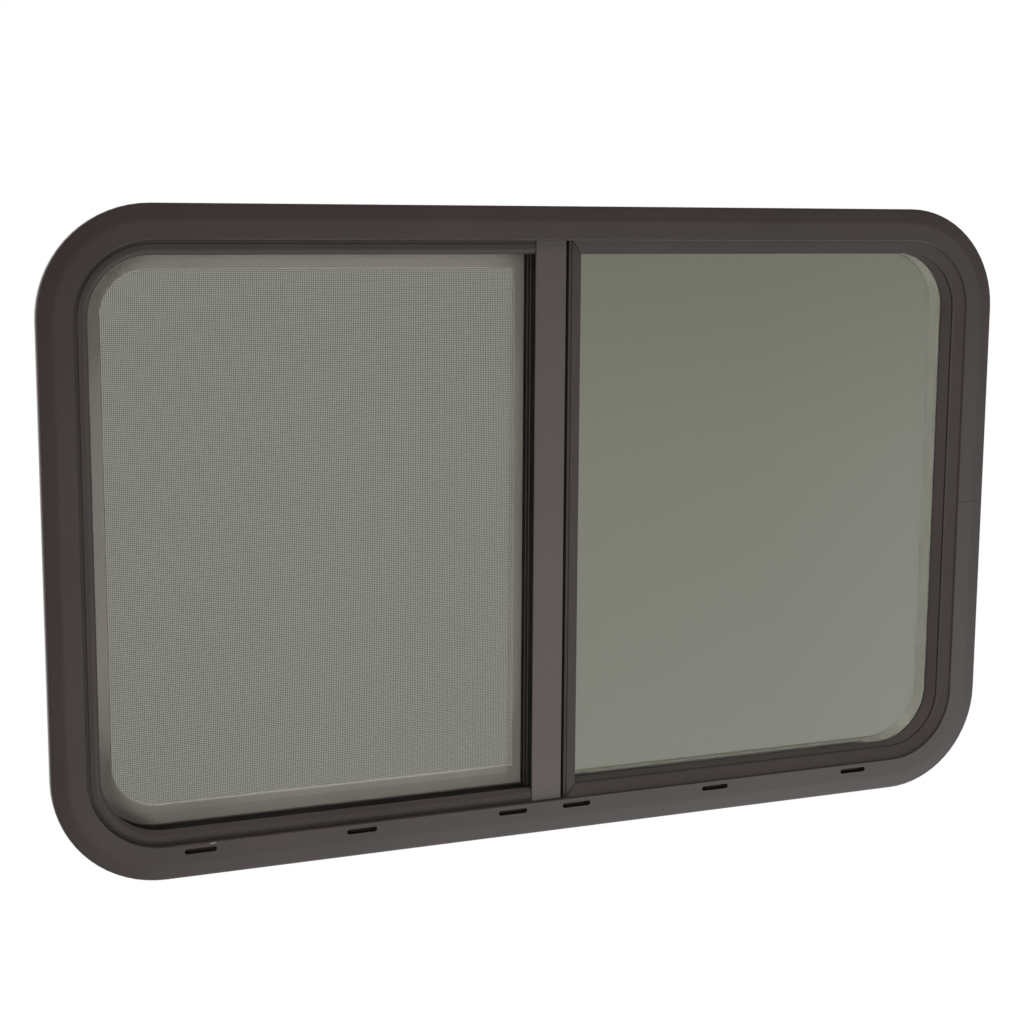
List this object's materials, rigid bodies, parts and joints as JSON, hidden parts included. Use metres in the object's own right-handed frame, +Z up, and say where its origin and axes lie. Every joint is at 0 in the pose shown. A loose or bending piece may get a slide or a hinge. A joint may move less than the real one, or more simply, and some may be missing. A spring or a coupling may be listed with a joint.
{
  "type": "caravan window",
  "caption": "Half-sliding caravan window: bent aluminium frame with wide flange, fixed tinted pane, sliding tinted pane, mullion, fly screen and inner clamp ring.",
  "frame": {"origin": "middle of the window on the plane where the back of the flange bears on the outer skin of the wall", "axes": "+X to the right seen from outdoors, +Y from outdoors to indoors, +Z up"},
  "size_m": [0.9, 0.054, 0.56],
  "materials": {
    "frame_paint": "satin powder coat, dark bronze grey",
    "trim_paint": "satin powder coat, a shade darker",
    "screen_paint": "satin powder coat, pale warm grey",
    "ring_paint": "satin powder coat",
    "tinted_glass": "grey tinted, toughened",
    "seal_rubber": "matte",
    "guide_lining": "flocked",
    "weather_pile": "woven pile",
    "screen_mesh": "coated glass-fibre insect mesh",
    "black_plastic": "moulded, fine grain",
    "pale_plastic": "extruded, satin white"
  },
  "bodies": {
    "frame": {"outer_frame": "frame_paint", "mullion": "frame_paint", "mullion_seal": "seal_rubber", "mullion_bead": "trim_paint", "glazing_bead": "trim_paint", "fixed_glass": "tinted_glass", "fixed_glass_gasket": "seal_rubber", "setting_blocks": "seal_rubber", "slider_surround": "trim_paint", "slider_surround_seal": "seal_rubber", "run_channel": "guide_lining", "travel_stops": "pale_plastic", "screen_frame": "screen_paint", "screen_mesh": "screen_mesh", "screen_spline": "seal_rubber", "screen_pull": "black_plastic", "track_fillers": "pale_plastic", "clamp_ring": "ring_paint"},
    "slider": {"sliding_glass": "tinted_glass", "meeting_stile": "frame_paint", "stile_pile": "weather_pile", "slider_latch": "black_plastic"}
  },
  "joints": [
    {"name": "slider_slide", "type": "slide", "parent": "frame", "child": "slider", "axis": [1, 0, 0], "range_m": [0, 0.34]}
  ]
}
